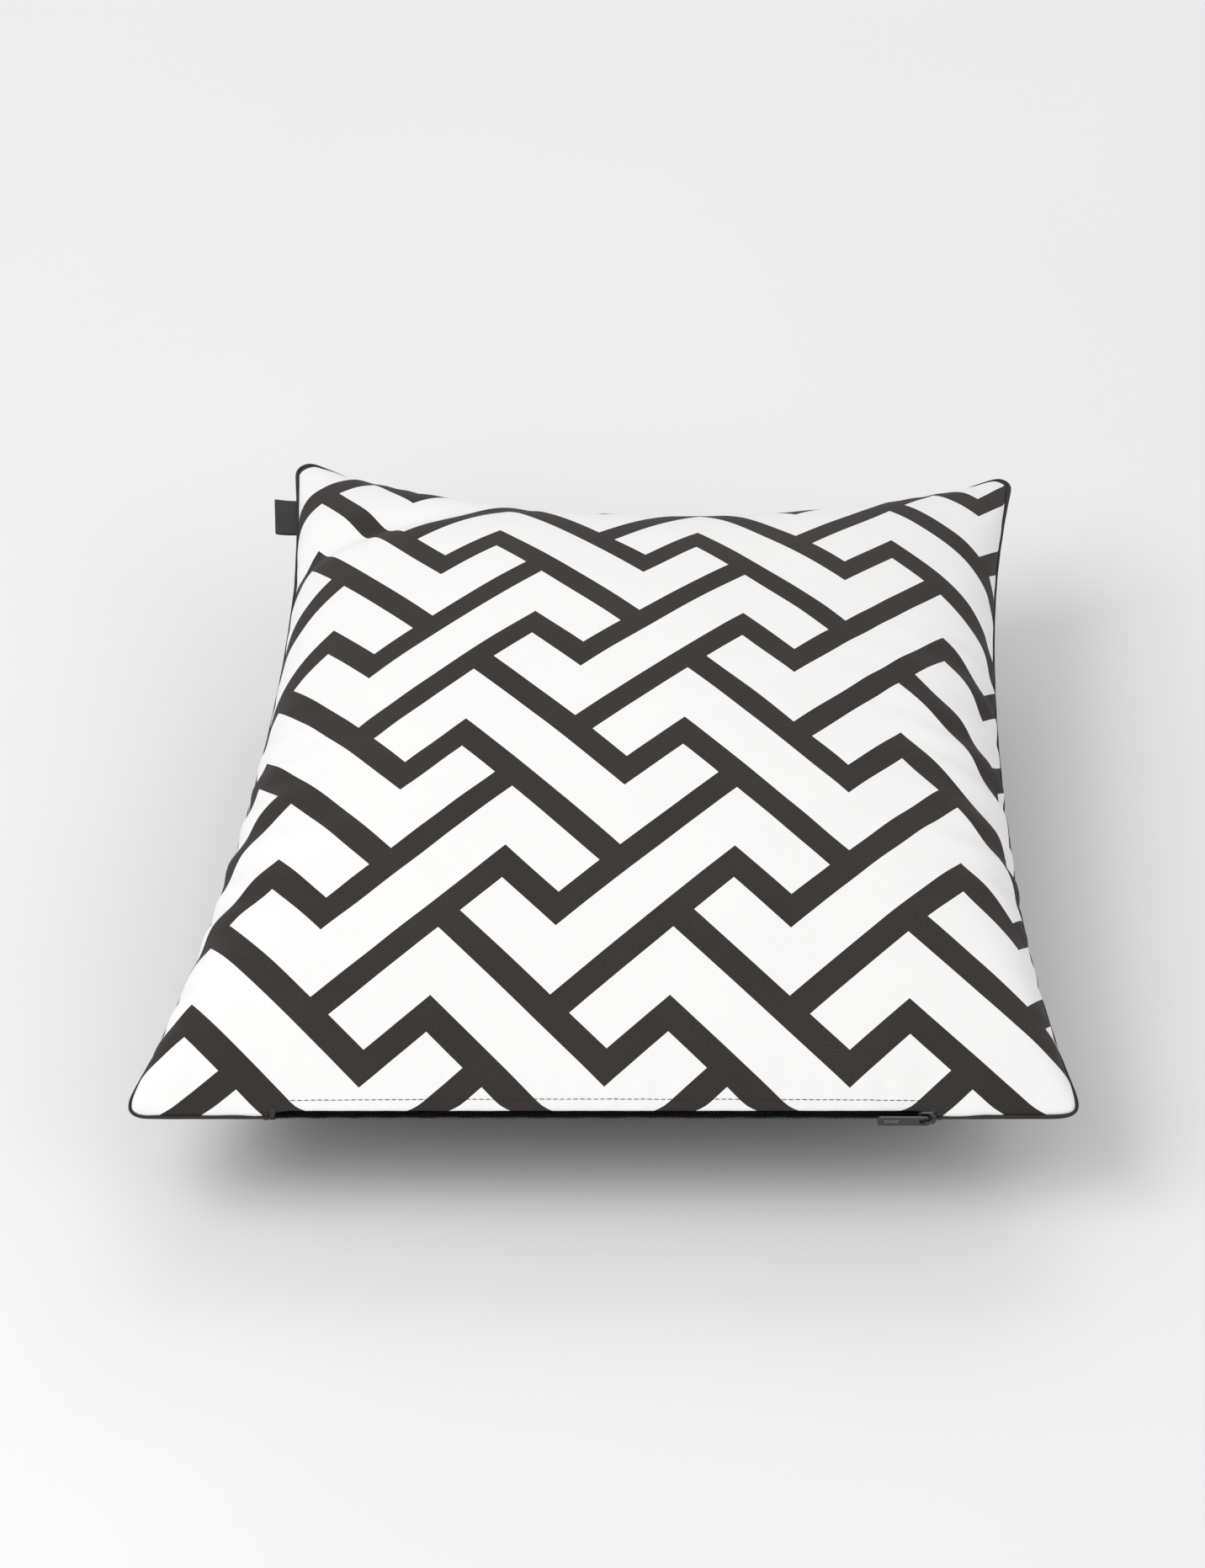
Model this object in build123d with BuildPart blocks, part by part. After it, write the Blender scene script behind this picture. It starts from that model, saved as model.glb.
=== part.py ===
"""A square knife-edge throw pillow: a two-panel cotton cover that closes with a coil zip
in its bottom seam, over a plump fibre-filled inner cushion.

The pillow lies on its back. X is its width, with the side label on -X. Y runs from the
zip seam (-Y) to the top seam (+Y). Z runs from the flattened back, which rests on z = 0,
up to the crown of the printed front panel. All sizes are in millimetres.
"""

import os
from math import sqrt

from build123d import *

# ---- Filled cover, measured on the seam line
bottom_width = 488.0  # corner to corner along the zip seam
top_width = 412.0  # corner to corner along the top seam, which the fill draws in
top_shift = 24.0  # how far the top seam's middle leans towards +X
cover_depth = 486.0  # zip seam to the top corners
left_pull = 12.0  # how far each seam bows inwards at its middle
right_pull = 12.0
top_pull = 38.0
corner_radius = 12.0  # the turned-out corners of the cover
most_rounding = 0.9  # the largest fillet, as a share of the half width

# ---- Loft of the two faces
front_rise = 86.0  # crown of the front above the seam plane
back_drop = 86.0  # the same for the back if nothing flattened it
rest_flat = 14.0  # depth of the back that the resting surface flattens
crown_power = 1.0  # height = rise x (1 - (x / half width)^2) ^ crown_power
corner_power = 0.75  # the same towards the corners, which are thinner
loft_levels = [0.0, 0.04, 0.14, 0.3, 0.5, 0.7, 0.87]  # shares of the rise with a section
level_step = 0.05  # the least between the last of them and a face's cap
front_cap_level = 0.985  # the front's last section, a small flat at the crown
pull_fade = 2.0  # how quickly the bowed seams straighten with height

# ---- Cloth and sewing
cloth = 0.8  # woven cotton of both panels
seam_allowance = 10.0  # turned inside along the sewn seams
fold_inset = 1.2  # where the flat allowance starts, inside the folded edge
thread = 0.4
overlock_from_edge = 8.0  # the overlock stitch that binds both allowances
layer_gap = 0.2  # between the cloth layers

# ---- Zip in the bottom seam
zip_opening = 340.0
zip_slot = 8.0  # the gap between the folded panel edges that shows the zip
tape = 0.6
tape_width = 12.0
tape_tail = 9.0  # tape beyond each end of the opening
coil_row = 1.5  # height of one coil row, across the zip
coil_gap = 1.2  # between the two rows, where the slider's web passes
coil_thickness = 1.8
coil_inset = 2.0  # the coil's face behind the seam line
coil_rounding = 0.5
stop_length = 2.4
stop_proud = 0.4  # a stop stands over the coil by this much
topstitch_rise = 6.0  # the stitch row that holds each tape, from the seam plane
tack_width = 2.4
tack_height = 11.0
cut_margin = 1.0  # how far a cutting block stands past what it cuts

# ---- Slider and pull
slider_length = 9.0
slider_width = 7.4
slider_rounding = 2.4
slider_park_gap = 0.5  # to the top stops when the zip is closed
plate = 1.3
slider_clearance = 0.4  # plates to coil
inner_plate_width = 3.0
inner_plate_rounding = 1.2
web_length = 3.0
web_clearance = 0.1
crown_length = 5.0
crown_width = 1.8
crown_height = 3.0
pin_radius = 0.6
pin_clearance = 0.08
pin_grip = 0.2  # how far the pin runs into the fork on each side
pull_length = 26.0
pull_width = 5.4
pull_thickness = 1.2
pull_rounding = 1.4
pull_overhang = 1.2  # past the pin
pull_fork_gap = 0.3  # each side of the slider's crown
pull_slot_width = 1.8
pull_slot_length = 9.0
pull_slot_margin = 2.5  # from the pull's end
pull_fork_margin = 1.4  # along the slider's crown, at each end

# ---- Labels
label_height = 26.0  # along the seam
label_reach = 12.0  # out of the seam
label_tail = 7.0  # sewn inside the seam
label_ribbon = 0.5
label_gap = 0.2  # between the two layers of the folded ribbon
label_from_corner = 46.0  # the label's middle to the top left corner, along Y
label_clearance = 0.4
care_label_width = 34.0
care_label_length = 60.0
care_label_from_zip = 170.0
care_label_thickness = 0.3

# ---- Inner cushion
insert_case = 0.4
insert_inset = 13.0  # its edge inside the cover's edge, clear of the seam allowances
insert_drop = 2.2  # its crown under the cover's crown
insert_thread = 0.3
insert_allowance = 2.4  # the closing stitch behind the insert's edge
fill_gap = 1.0  # between the case and the filling

seam_z = back_drop - rest_flat  # height of the seam plane
half_depth = cover_depth / 2
edge_y = -half_depth  # the zip seam
fillet_depth = 1 - 1 / sqrt(2)  # how far a fillet of radius 1 cuts each side of a square corner


def side_share(level):
    """How much of the half width is left at a share of the rise."""
    return sqrt(1 - level ** (1 / crown_power))


def corner_share(level):
    """The same measured to the corners, which are thinner than the sides."""
    return sqrt(1 - level ** (1 / (2 * corner_power)))


def corner_points(inset, share):
    """The four corners, from the zip seam's left end, anticlockwise."""
    y = (half_depth - inset) * share
    left_bottom = -bottom_width / 2 + inset
    left_top = top_shift - top_width / 2 + inset
    right_top = top_shift + top_width / 2 - inset
    return [
        (left_bottom * share, -y),
        (-left_bottom * share, -y),
        (right_top * share, y),
        (left_top * share, y),
    ]


def midpoint(start, end, pull_x, pull_y):
    return ((start[0] + end[0]) / 2 + pull_x, (start[1] + end[1]) / 2 + pull_y)


def section(height, level=0.0, inset=0.0):
    """The pillow's outline at one height: a straight zip side and three bowed sides."""
    share = side_share(level)
    reach = min(bottom_width, top_width, cover_depth) / 2 - inset
    cut_back = reach * (share - corner_share(level))
    radius = max(corner_radius - inset / 2, cut_back / fillet_depth)
    fade = (1 - level) ** pull_fade
    a, b, c, d = corner_points(inset, share)
    with BuildSketch(Plane.XY.offset(height)) as outline:
        with BuildLine():
            Line(a, b)
            ThreePointArc(b, midpoint(b, c, -right_pull * fade, 0), c)
            ThreePointArc(c, midpoint(c, d, 0, -top_pull * fade), d)
            ThreePointArc(d, midpoint(d, a, left_pull * fade, 0), a)
        make_face()
        fillet(outline.vertices(), radius=min(radius, most_rounding * reach * share))
    return outline.sketch


def dome(side, inset=0.0, drop=None):
    """One face of the pillow, as a solid from the seam plane to its crown (side = 1)
    or to its flattened back (side = -1), with its edge moved in and its crown lowered."""
    drop = inset if drop is None else drop
    rise = front_rise if side > 0 else back_drop
    cap = front_cap_level if side > 0 else (back_drop - rest_flat) / back_drop
    with BuildPart() as solid:
        for level in [low for low in loft_levels if low < cap - level_step] + [cap]:
            height = level * (rise - drop / cap)
            add(section(seam_z + side * height, level, inset))
        loft()
    return solid.part


def layer(side, outer, inner):
    """A cloth layer of one face, between two insets from the cover's outside."""
    outside = dome(side, outer)
    inside = dome(side, inner)
    with BuildPart() as shell:
        add(outside)
        add(inside, mode=Mode.SUBTRACT)
    return shell.part


def block(low, high, mode=Mode.ADD):
    """A box between two corners, in the builder that is open."""
    size = [b - a for a, b in zip(low, high)]
    centre = [(a + b) / 2 for a, b in zip(low, high)]
    with Locations(tuple(centre)):
        Box(*size, mode=mode)


def seam_ring(outer, inner, low, high):
    """A flat band that runs round the seam between two insets and two heights,
    left open along the zip."""
    with BuildPart() as ring:
        add(section(seam_z + low, 0.0, outer))
        extrude(amount=high - low)
        add(section(seam_z + low, 0.0, inner))
        extrude(amount=high - low, mode=Mode.SUBTRACT)
        block(
            (-zip_opening / 2, edge_y - cut_margin, seam_z + low - cut_margin),
            (zip_opening / 2, edge_y + seam_allowance + cut_margin, seam_z + high + cut_margin),
            mode=Mode.SUBTRACT,
        )
    return ring.part


def left_seam_point(share):
    """A point on the left seam and the seam's direction there, from the top corner down."""
    left_bottom, _, _, left_top = corner_points(0.0, 1.0)
    seam = ThreePointArc(left_top, midpoint(left_top, left_bottom, left_pull, 0), left_bottom)
    return seam @ share, seam % share


def finish(builder, name):
    builder.part.label = name
    export_step(builder.part, f"parts/{name}.step")


os.makedirs("parts", exist_ok=True)

# ---------------------------------------------------------------- the side label's place in the seam
seam_point, seam_run = left_seam_point(label_from_corner / cover_depth)
label_half = label_ribbon + label_gap / 2
label_plane = Plane(
    origin=(seam_point.X, seam_point.Y, seam_z),
    x_dir=(seam_run.Y, -seam_run.X, 0),
    z_dir=(seam_run.X, seam_run.Y, 0),
)
with BuildPart() as label_tail_block:
    with BuildSketch(label_plane):
        Rectangle(label_tail, 2 * label_half, align=(Align.MAX, Align.CENTER))
    extrude(amount=label_height / 2, both=True)

# ---------------------------------------------------------------- cover panels
for side, name in ((1, "front_panel"), (-1, "back_panel")):
    shell = layer(side, 0.0, cloth)
    low, high = (0.0, cloth) if side > 0 else (-cloth, 0.0)
    allowance = seam_ring(fold_inset, seam_allowance, low, high)
    with BuildPart() as panel:
        add(shell)
        add(allowance)
        block(
            (-zip_opening / 2, edge_y - cut_margin, seam_z - zip_slot / 2),
            (zip_opening / 2, edge_y + seam_allowance, seam_z + zip_slot / 2),
            mode=Mode.SUBTRACT,
        )
        add(label_tail_block.part, mode=Mode.SUBTRACT)
    finish(panel, name)

# ---------------------------------------------------------------- overlock stitch of the seam
stitch_rows = [
    seam_ring(overlock_from_edge, overlock_from_edge + thread, cloth, cloth + thread),
    seam_ring(overlock_from_edge, overlock_from_edge + thread, -cloth - thread, -cloth),
]
with BuildPart() as seam_thread:
    for row in stitch_rows:
        add(row)
finish(seam_thread, "seam_thread")

# ---------------------------------------------------------------- zip tapes and coils
coil_front_y = edge_y + coil_inset
coil_back_y = coil_front_y + coil_thickness
tape_end = zip_opening / 2 + tape_tail
coil_top = coil_gap / 2 + coil_row
for side, name in ((1, "front"), (-1, "back")):
    shell = layer(side, cloth, cloth + tape)
    z_near, z_far = sorted((seam_z + side * coil_top, seam_z + side * tape_width))
    with BuildPart() as zip_tape:
        add(shell)
        with Locations((0, edge_y + tape_width / 2, (z_near + z_far) / 2)):
            Box(2 * tape_end, tape_width, z_far - z_near, mode=Mode.INTERSECT)
    finish(zip_tape, f"zip_tape_{name}")

    z_low, z_high = sorted((seam_z + side * coil_gap / 2, seam_z + side * coil_top))
    with BuildPart() as zip_coil:
        block(
            (-zip_opening / 2, coil_front_y, z_low),
            (zip_opening / 2, coil_back_y, z_high),
        )
        fillet(zip_coil.edges().filter_by(Axis.X).group_by(Axis.Y)[0], radius=coil_rounding)
    finish(zip_coil, f"zip_coil_{name}")

    outer_layer = layer(side, -thread, 0.0)
    row_z = seam_z + side * topstitch_rise
    with BuildPart() as stitching:
        add(outer_layer)
        with Locations((0, edge_y + tape_width / 2, row_z)):
            Box(zip_opening, 2 * tape_width, thread, mode=Mode.INTERSECT)
    finish(stitching, f"zip_stitching_{name}")

# ---------------------------------------------------------------- zip stops and tacks
stop_x = zip_opening / 2 - stop_length / 2
with BuildPart() as zip_top_stops:
    for side in (1, -1):
        z_low, z_high = sorted((seam_z + side * coil_gap / 2, seam_z + side * coil_top))
        block(
            (stop_x - stop_length / 2, coil_front_y - stop_proud, z_low),
            (stop_x + stop_length / 2, coil_front_y, z_high),
        )
finish(zip_top_stops, "zip_top_stops")

with BuildPart() as zip_bottom_stop:
    block(
        (-stop_x - stop_length / 2, coil_front_y - stop_proud, seam_z - coil_top),
        (-stop_x + stop_length / 2, coil_front_y, seam_z + coil_top),
    )
finish(zip_bottom_stop, "zip_bottom_stop")

tack_layers = [layer(side, -thread, 0.0) for side in (1, -1)]
tack_x = zip_opening / 2 + tack_width
with BuildPart() as zip_bar_tacks:
    for tack_layer in tack_layers:
        add(tack_layer)
    with Locations((-tack_x, edge_y, seam_z), (tack_x, edge_y, seam_z)):
        Box(tack_width, 2 * tape_width, tack_height, mode=Mode.INTERSECT)
finish(zip_bar_tacks, "zip_bar_tacks")

# ---------------------------------------------------------------- slider, parked at the closed end
slider_x = stop_x - stop_length / 2 - slider_park_gap - slider_length / 2
outer_plate_y = coil_front_y - slider_clearance  # its inner face
inner_plate_y = coil_back_y + slider_clearance
crown_y = outer_plate_y - plate  # the outer plate's outer face
pin_y = crown_y - crown_height / 2
with BuildPart() as zip_slider:
    with BuildSketch(Plane.XZ.offset(-outer_plate_y)):
        with Locations((slider_x, seam_z)):
            RectangleRounded(slider_length, slider_width, slider_rounding)
    extrude(amount=plate)
    with BuildSketch(Plane.XZ.offset(-inner_plate_y)):
        with Locations((slider_x, seam_z)):
            RectangleRounded(slider_length, inner_plate_width, inner_plate_rounding)
    extrude(amount=-plate)
    web_half = coil_gap / 2 - web_clearance
    block(
        (slider_x - web_length / 2, outer_plate_y, seam_z - web_half),
        (slider_x + web_length / 2, inner_plate_y, seam_z + web_half),
    )
    with BuildSketch(Plane.XY.offset(seam_z - crown_width / 2)):
        with BuildLine():
            Polyline(
                (slider_x - crown_length / 2, crown_y),
                (slider_x - crown_length / 4, crown_y - crown_height),
                (slider_x + crown_length / 4, crown_y - crown_height),
                (slider_x + crown_length / 2, crown_y),
                close=True,
            )
        make_face()
        with Locations((slider_x, pin_y)):
            Circle(pin_radius + pin_clearance, mode=Mode.SUBTRACT)
    extrude(amount=crown_width)
finish(zip_slider, "zip_slider")

# ---------------------------------------------------------------- pull tab, lying back along the teeth
fork_half = crown_width / 2 + pull_fork_gap
fork_reach = crown_length / 2 + pull_fork_margin
pull_middle = slider_x + pull_overhang - pull_length / 2
pull_slot_middle = pull_middle - pull_length / 2 + pull_slot_margin + pull_slot_length / 2
with BuildPart() as zip_pull_tab:
    with BuildSketch(Plane.XZ.offset(-pin_y - pull_thickness / 2)):
        with Locations((pull_middle, seam_z)):
            RectangleRounded(pull_length, pull_width, pull_rounding)
        with Locations((pull_slot_middle, seam_z)):
            SlotOverall(pull_slot_length, pull_slot_width, mode=Mode.SUBTRACT)
    extrude(amount=pull_thickness)
    block(
        (slider_x - fork_reach, pin_y - pull_thickness, seam_z - fork_half),
        (slider_x + fork_reach, pin_y + pull_thickness, seam_z + fork_half),
        mode=Mode.SUBTRACT,
    )
    with BuildSketch(Plane.XY.offset(seam_z - fork_half - pin_grip)):
        with Locations((slider_x, pin_y)):
            Circle(pin_radius)
    extrude(amount=2 * (fork_half + pin_grip))
finish(zip_pull_tab, "zip_pull_tab")

# ---------------------------------------------------------------- side label
with BuildPart() as side_label:
    with BuildSketch(label_plane):
        with BuildLine():
            Polyline(
                (label_clearance, label_half),
                (label_reach - label_half, label_half),
            )
            ThreePointArc(
                (label_reach - label_half, label_half),
                (label_reach, 0),
                (label_reach - label_half, -label_half),
            )
            Polyline(
                (label_reach - label_half, -label_half),
                (label_clearance, -label_half),
                (label_clearance, label_half),
            )
        make_face()
        with Locations((label_clearance, 0)):
            Rectangle(
                label_reach - label_half - label_clearance,
                label_gap,
                align=(Align.MIN, Align.CENTER),
                mode=Mode.SUBTRACT,
            )
    extrude(amount=label_height / 2, both=True)
finish(side_label, "side_label")
finish(label_tail_block, "side_label_tail")

# ---------------------------------------------------------------- care label, inside the cover
care_layer = layer(-1, cloth + layer_gap, cloth + layer_gap + care_label_thickness)
care_seam, _ = left_seam_point(1 - care_label_from_zip / cover_depth)
with BuildPart() as care_label:
    add(care_layer)
    with Locations((care_seam.X + care_label_length / 2, care_seam.Y, seam_z / 2)):
        Box(
            care_label_length,
            care_label_width,
            seam_z - 2 * (cloth + layer_gap),
            mode=Mode.INTERSECT,
        )
finish(care_label, "care_label")

# ---------------------------------------------------------------- inner cushion
insert_thread_inset = insert_inset + insert_allowance
filling_inset = insert_thread_inset + insert_thread + fill_gap
filling_drop = insert_drop + insert_case + fill_gap
for side, name in ((1, "insert_case_front"), (-1, "insert_case_back")):
    outside = dome(side, insert_inset, insert_drop)
    inside = dome(side, insert_inset + insert_case, insert_drop + insert_case)
    with BuildPart() as case:
        add(outside)
        add(inside, mode=Mode.SUBTRACT)
    finish(case, name)

with BuildPart() as insert_seam_thread:
    add(section(seam_z - insert_thread / 2, 0.0, insert_thread_inset))
    extrude(amount=insert_thread)
    add(section(seam_z - insert_thread / 2, 0.0, insert_thread_inset + insert_thread))
    extrude(amount=insert_thread, mode=Mode.SUBTRACT)
finish(insert_seam_thread, "insert_seam_thread")

filling_halves = [dome(side, filling_inset, filling_drop) for side in (1, -1)]
with BuildPart() as insert_filling:
    for half in filling_halves:
        add(half)
finish(insert_filling, "insert_filling")
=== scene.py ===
# %% [markdown]
# # A filled throw pillow
# The pillow is a cotton cover with a printed front and a plain back, sewn round three
# sides and closed by a zip along the fourth, over a fat inner cushion. The frame brings
# the hard facts: how large it is, where the zip runs, and which way its slider travels.
# Everything soft is made here, from flat cloth, because a pillow gets its form from cloth
# that is cut flat and then pushed out from inside.

# %% The fixed frame
import math

import bmesh
import bpy
import numpy as np
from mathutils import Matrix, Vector, noise


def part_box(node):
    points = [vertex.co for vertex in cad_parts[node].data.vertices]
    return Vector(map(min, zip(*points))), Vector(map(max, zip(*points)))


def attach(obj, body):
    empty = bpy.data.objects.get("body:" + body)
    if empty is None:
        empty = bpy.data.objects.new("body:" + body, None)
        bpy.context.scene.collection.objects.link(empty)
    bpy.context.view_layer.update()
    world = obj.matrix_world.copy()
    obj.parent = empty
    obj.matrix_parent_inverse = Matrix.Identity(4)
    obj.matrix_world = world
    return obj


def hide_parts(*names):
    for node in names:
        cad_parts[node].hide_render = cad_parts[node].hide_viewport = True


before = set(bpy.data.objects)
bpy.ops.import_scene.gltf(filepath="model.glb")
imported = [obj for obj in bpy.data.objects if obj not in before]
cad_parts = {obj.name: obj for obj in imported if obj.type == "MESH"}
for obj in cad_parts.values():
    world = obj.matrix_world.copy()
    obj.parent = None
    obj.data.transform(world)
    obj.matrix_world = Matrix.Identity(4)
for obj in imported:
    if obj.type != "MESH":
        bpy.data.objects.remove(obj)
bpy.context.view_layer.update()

panel_low, panel_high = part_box("front_panel")
coil_front_low, coil_front_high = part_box("zip_coil_front")
coil_back_low, coil_back_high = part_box("zip_coil_back")
seam_z = (coil_front_low.z + coil_back_high.z) / 2
zip_y = panel_low.y
zip_half = coil_front_high.x

# %% [markdown]
# ## Where the seam is held
# A cushion cover is two flat panels of the same cut, 500 by 494 mm between the seams. When
# it is filled, the corners are what stays put and the sides draw in between them. So the
# simulation needs only a few fixed places: the straight zip seam along the bottom, and the
# two top corners, which stand up a little and lean in, the left one more than the right.

# %% The cut of the panels and the held corners
panel_width, panel_height = 0.500, 0.494
cells = 100  # squares of cloth along each side
bottom_half = 0.242
top_left = Vector((-0.168, 0.240, 0.112))
top_right = Vector((0.226, 0.241, 0.100))
top_sag = 0.029  # how far the top edge starts pulled in at its middle
bottom_left = Vector((-bottom_half, zip_y, seam_z))
bottom_right = Vector((bottom_half, zip_y, seam_z))


def hung(u, v):
    """Where a point of the flat panel starts, between the four held corners."""
    low = bottom_left.lerp(bottom_right, u)
    high = top_left.lerp(top_right, u)
    bow = (1 - (2 * u - 1) ** 2) * v**3
    return low.lerp(high, v) - Vector((0, top_sag * bow, top_sag * bow / 3))


print("seam corners", [tuple(round(c, 3) for c in hung(u, v)) for u in (0, 1) for v in (0, 1)])

# %% [markdown]
# ## Two panels sewn into a bag
# The bag could be a closed block that swells, but then its print would have to be painted
# on afterwards. Two grids that share their border are what a sewer makes, and a UV map
# that is simply the flat panel lets the print travel with the cloth. `create_grid` makes
# one panel, `duplicate` the other, and `remove_doubles` on the border is the sewing.

# %% Make the sewn bag
bag = bmesh.new()
flat_uv = bag.loops.layers.uv.new("panel")
bmesh.ops.create_grid(bag, x_segments=cells, y_segments=cells, size=0.5)
for face in bag.faces:
    for loop in face.loops:
        loop[flat_uv].uv = (loop.vert.co.x + 0.5, loop.vert.co.y + 0.5)
copied = bmesh.ops.duplicate(bag, geom=bag.verts[:] + bag.edges[:] + bag.faces[:])
back_faces = [part for part in copied["geom"] if isinstance(part, bmesh.types.BMFace)]
bmesh.ops.reverse_faces(bag, faces=back_faces)
for face in back_faces:
    face.material_index = 1
bmesh.ops.remove_doubles(bag, verts=[v for v in bag.verts if v.is_boundary], dist=1e-6)
bag.verts.index_update()
place = {}
for face in bag.faces:
    for vert in face.verts:
        column = round((vert.co.x + 0.5) * cells)
        row = round((vert.co.y + 0.5) * cells)
        place[vert.index] = (face.material_index, column, row)
border = {v.index for v in bag.verts if place[v.index][1] in (0, cells) or place[v.index][2] in (0, cells)}
print("bag", len(bag.verts), "vertices,", len(border), "of them on the seam")

# %% [markdown]
# ## Filling it
# Blender's Cloth pushes the bag out with pressure. Two shape keys say what the cloth knows
# and where it starts: `flat` is its rest shape, so it keeps the size it was cut to, and the
# basis hangs it between the held corners. The vertices are light, so that the pressure can
# lift them, and gravity is off, because the filling carries the cloth. A floor under the
# bag flattens its back, as a seat does.

# %% Simulate the filled cover
start, cut = [], []
hump = 0.02  # the bag starts slightly open, so that the pressure has a way out
for index in range(len(bag.verts)):
    side, column, row = place[index]
    u, v = column / cells, row / cells
    puff = hump * math.sqrt((1 - (2 * u - 1) ** 2) * (1 - (2 * v - 1) ** 2))
    lift = 0 if index in border else (puff if side == 0 else -puff)
    start.append(hung(u, v) + Vector((0, 0, lift)))
    cut.append(Vector(((u - 0.5) * panel_width, (v - 0.5) * panel_height, seam_z)))
mesh = bpy.data.meshes.new("bag")
bag.to_mesh(mesh)
bag.free()
bag_object = bpy.data.objects.new("bag", mesh)
bpy.context.scene.collection.objects.link(bag_object)
basis = bag_object.shape_key_add(name="Basis")
flat_key = bag_object.shape_key_add(name="flat")
for index, (here, there) in enumerate(zip(start, cut)):
    mesh.vertices[index].co = basis.data[index].co = here
    flat_key.data[index].co = there
held = bag_object.vertex_groups.new(name="held")
corner_reach = 2  # squares held at each top corner
held.add(
    [
        index
        for index in border
        if place[index][2] == 0
        or (
            place[index][2] >= cells - corner_reach
            and min(place[index][1], cells - place[index][1]) <= corner_reach
        )
    ],
    1.0,
    "ADD",
)
cloth = bag_object.modifiers.new("filled", "CLOTH")
cloth.settings.quality = 8
cloth.settings.mass = 0.002
cloth.settings.tension_stiffness = cloth.settings.compression_stiffness = 15
cloth.settings.shear_stiffness = 6
cloth.settings.bending_stiffness = 0.03
cloth.settings.tension_damping = cloth.settings.compression_damping = 25
cloth.settings.shear_damping = 25
cloth.settings.air_damping = 2
cloth.settings.use_pressure = True
cloth.settings.uniform_pressure_force = 160
cloth.settings.vertex_group_mass = "held"
cloth.settings.pin_stiffness = 5
cloth.settings.rest_shape_key = flat_key
cloth.settings.effector_weights.gravity = 0
cloth.collision_settings.distance_min = 0.002
cloth.collision_settings.collision_quality = 3
frames = 12
cloth.point_cache.frame_end = frames

seat_mesh = bpy.data.meshes.new("seat")
seat_shape = bmesh.new()
bmesh.ops.create_grid(seat_shape, x_segments=1, y_segments=1, size=2)
seat_shape.to_mesh(seat_mesh)
seat_shape.free()
seat = bpy.data.objects.new("seat", seat_mesh)
bpy.context.scene.collection.objects.link(seat)
seat.modifiers.new("solid", "COLLISION")
seat.collision.thickness_outer = 0.001
seat.collision.cloth_friction = 5
for step in range(1, frames + 1):
    bpy.context.scene.frame_set(step)
filled = bag_object.evaluated_get(bpy.context.evaluated_depsgraph_get()).to_mesh()
shape = np.zeros((2, cells + 1, cells + 1, 3))
for index, (side, column, row) in place.items():
    sides = (0, 1) if index in border else (side,)
    for one in sides:
        shape[one, column, row] = filled.vertices[index].co
bpy.data.objects.remove(bag_object)
bpy.data.objects.remove(seat)
bpy.context.scene.frame_set(1)
print("back stops above the floor by", round(shape[..., 2].min(), 4))
below = seam_z - shape[1, ..., 2]
settle = seam_z / below.max()
shape[1, ..., 2] = np.where(below > 0, seam_z - below * settle, shape[1, ..., 2])
print("filled", np.round(shape.min((0, 1, 2)), 4), np.round(shape.max((0, 1, 2)), 4))

# %% [markdown]
# ## Reading the filled shape
# Almost everything else lies on or in this cloth: stitches, tapes, labels and the inner
# cushion. `on_cloth` answers where a point of the flat panel ended up, and which way the
# cloth faces there, so a piece can be placed in the sewer's own measurements.

# %% Look up a point of the cloth


def facing(points):
    """The outward direction at each point of a grid of points."""
    across = np.gradient(points, axis=0)
    along = np.gradient(points, axis=1)
    normal = np.cross(across, along)
    return normal / np.linalg.norm(normal, axis=-1, keepdims=True).clip(1e-12)


def on_cloth(side, x, y, depth=0.0):
    """A point of the cloth, from flat measures (x from the middle, y from the zip seam),
    moved inwards by depth."""
    column = min(max((x / panel_width + 0.5) * cells, 0), cells - 1e-6)
    row = min(max(y / panel_height * cells, 0), cells - 1e-6)
    i, j = int(column), int(row)
    s, t = column - i, row - j
    corners = (
        (i, j, (1 - s) * (1 - t)),
        (i + 1, j, s * (1 - t)),
        (i, j + 1, (1 - s) * t),
        (i + 1, j + 1, s * t),
    )
    point = sum(shape[side, a, b] * w for a, b, w in corners)
    normal = sum(outward[side, a, b] * w for a, b, w in corners)
    return Vector(point - depth * normal / np.linalg.norm(normal))


outward = np.stack([facing(shape[0]), -facing(shape[1])])
print("crown", round(on_cloth(0, 0, 0.25).z, 4), "back", round(on_cloth(1, 0, 0.25).z, 4))

# %% [markdown]
# ## Creases
# Real cotton isn't as smooth as the simulation: the seam gathers it into small puckers,
# the slack sides ripple, and the left corner is folded over like a hood. A finer
# simulation would find some of these but takes minutes. A few formulas that push the cloth
# in and out, each with its place and size, are quick, and they can be tuned by hand.

# %% Push the creases into the cloth
pucker, pucker_reach, pucker_pitch = 0.0011, 0.014, 0.019
ripple, ripple_pitch, ripple_reach = 0.0030, 0.026, 0.055
hood_depth, hood_width = 0.0075, 0.011
hood_from, hood_to = Vector((-0.250, 0.392)), Vector((-0.075, 0.462))


def wander(x, y, size, seed):
    """Smooth noise from -1 to 1 whose lumps are about size across."""
    return noise.noise(Vector((x / size, y / size, seed)))


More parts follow.
